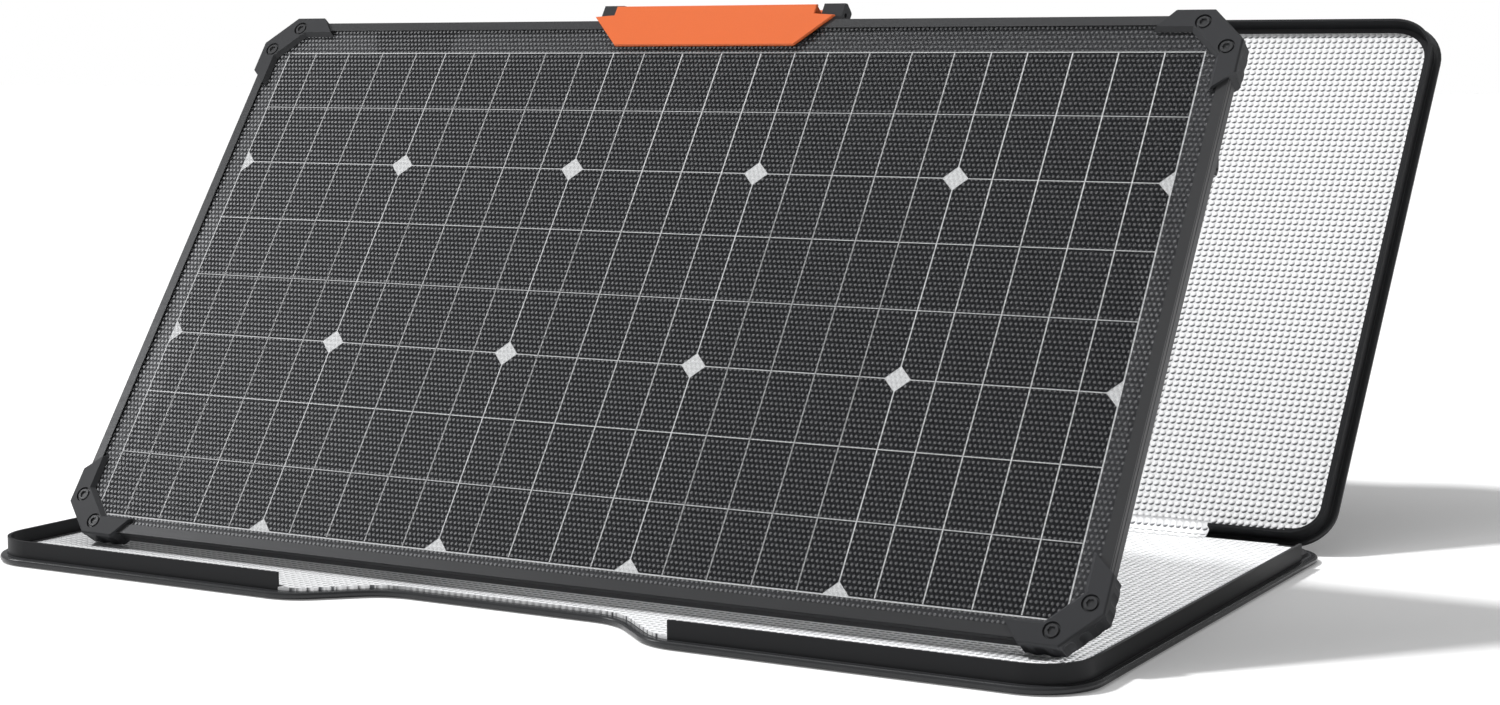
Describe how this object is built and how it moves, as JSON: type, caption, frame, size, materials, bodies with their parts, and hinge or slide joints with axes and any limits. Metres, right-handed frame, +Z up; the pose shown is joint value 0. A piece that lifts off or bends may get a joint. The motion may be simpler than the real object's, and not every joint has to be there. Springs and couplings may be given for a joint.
{
  "type": "folding-case solar panel",
  "caption": "Framed solar panel on a hinged rear stand in the lower half of its open reflective case, whose upper half leans back on a wire prop.",
  "frame": {"origin": "centre of the lower case half's underside, on the ground", "axes": "+X to the right seen from the front, +Y towards the back where the upper half stands, +Z up"},
  "size_m": [0.933, 0.8755, 0.439],
  "materials": {
    "board": "black moulded board skin, fine grain",
    "bead": "satin black edge bead",
    "skirt": "matt charcoal",
    "welt": "black woven welt",
    "reflector": "bright silver-white embossed foil",
    "fabric_black": "black woven",
    "frame_metal": "black anodised, satin",
    "guard": "matt charcoal, fine grain",
    "key_plastic": "black",
    "gasket": "black",
    "front_film": "clear embossed sheet over dark cells",
    "clear_film": "clear film",
    "cell": "near black silicon",
    "ribbon": "tinned ribbon",
    "backing": "silver-white backing",
    "rear_film": "dark rear film",
    "rear_sheet": "dark grey rear sheet",
    "screw_black": "black oxide",
    "box_plastic": "black, fine grain",
    "brass": "plain",
    "tag_orange": "satin orange",
    "steel": "plain",
    "stand_metal": "dark anodised",
    "foot_rubber": "black"
  },
  "bodies": {
    "case_base": {"base_shell": "board", "base_edge_piping": "bead", "base_skirt_left": "skirt", "base_skirt_right": "skirt", "base_welt": "welt", "base_reflector": "reflector", "hinge_fabric": "fabric_black"},
    "case_back": {"back_shell": "board", "back_edge_piping": "bead", "back_skirt_left": "skirt", "back_skirt_right": "skirt", "back_welt": "welt", "back_reflector": "reflector", "prop_brackets": "key_plastic"},
    "back_prop": {"prop_wire": "steel", "prop_foot_sleeve": "foot_rubber"},
    "panel": {"frame_rail_top": "frame_metal", "frame_rail_bottom": "frame_metal", "frame_rail_left": "frame_metal", "frame_rail_right": "frame_metal", "frame_corner_keys": "key_plastic", "frame_gasket": "gasket", "front_sheet": "front_film", "front_encapsulant": "clear_film", "solar_cells": "cell", "cell_ribbons": "ribbon", "grid_backing": "backing", "rear_encapsulant": "rear_film", "rear_sheet": "rear_sheet", "corner_guard_top_left": "guard", "corner_guard_top_right": "guard", "corner_guard_bottom_left": "guard", "corner_guard_bottom_right": "guard", "guard_screws": "screw_black", "guard_washers": "screw_black", "junction_box_base": "box_plastic", "junction_box_lid": "box_plastic", "junction_box_screws": "screw_black", "junction_terminals": "key_plastic", "output_socket": "box_plastic", "socket_contact": "brass", "tag_bracket": "guard", "tag_pin": "steel", "tag_bracket_screws": "screw_black", "stand_cross_rail": "stand_metal", "stand_hinge_brackets": "screw_black", "stand_pins": "steel", "stand_rail_screws": "screw_black", "stand_bracket_screws": "screw_black", "hanging_lugs": "key_plastic"},
    "stand": {"stand_legs": "stand_metal", "stand_foot_rod": "steel", "stand_feet": "foot_rubber"},
    "tag": {"tag_plate": "tag_orange"}
  },
  "joints": [
    {"name": "case_hinge", "type": "hinge", "parent": "case_base", "child": "case_back", "pos_m": [0, 0.27, 0.0024], "axis": [1, 0, 0], "range_deg": [-51.5, 32]},
    {"name": "back_prop_hinge", "type": "hinge", "parent": "case_back", "child": "back_prop", "pos_m": [0, 0.41627, 0.18761], "axis": [1, 0, 0], "range_deg": [-72, 110]},
    {"name": "panel_tilt", "type": "hinge", "parent": "case_base", "child": "panel", "pos_m": [0, -0.1947, 0.01125], "axis": [1, 0, 0], "range_deg": [-15, 33]},
    {"name": "stand_hinge", "type": "hinge", "parent": "panel", "child": "stand", "pos_m": [0.009, -0.04927, 0.2083], "axis": [1, 0, 0], "range_deg": [-70, 34]},
    {"name": "tag_hinge", "type": "hinge", "parent": "panel", "child": "tag", "pos_m": [0.009, 0.09224, 0.42937], "axis": [-1, 0, 0], "range_deg": [0, 160]}
  ],
  "couplings": [
    {"joint": "back_prop_hinge", "follows": "case_hinge", "ratio": -2},
    {"joint": "stand_hinge", "follows": "panel_tilt", "ratio": -2}
  ]
}
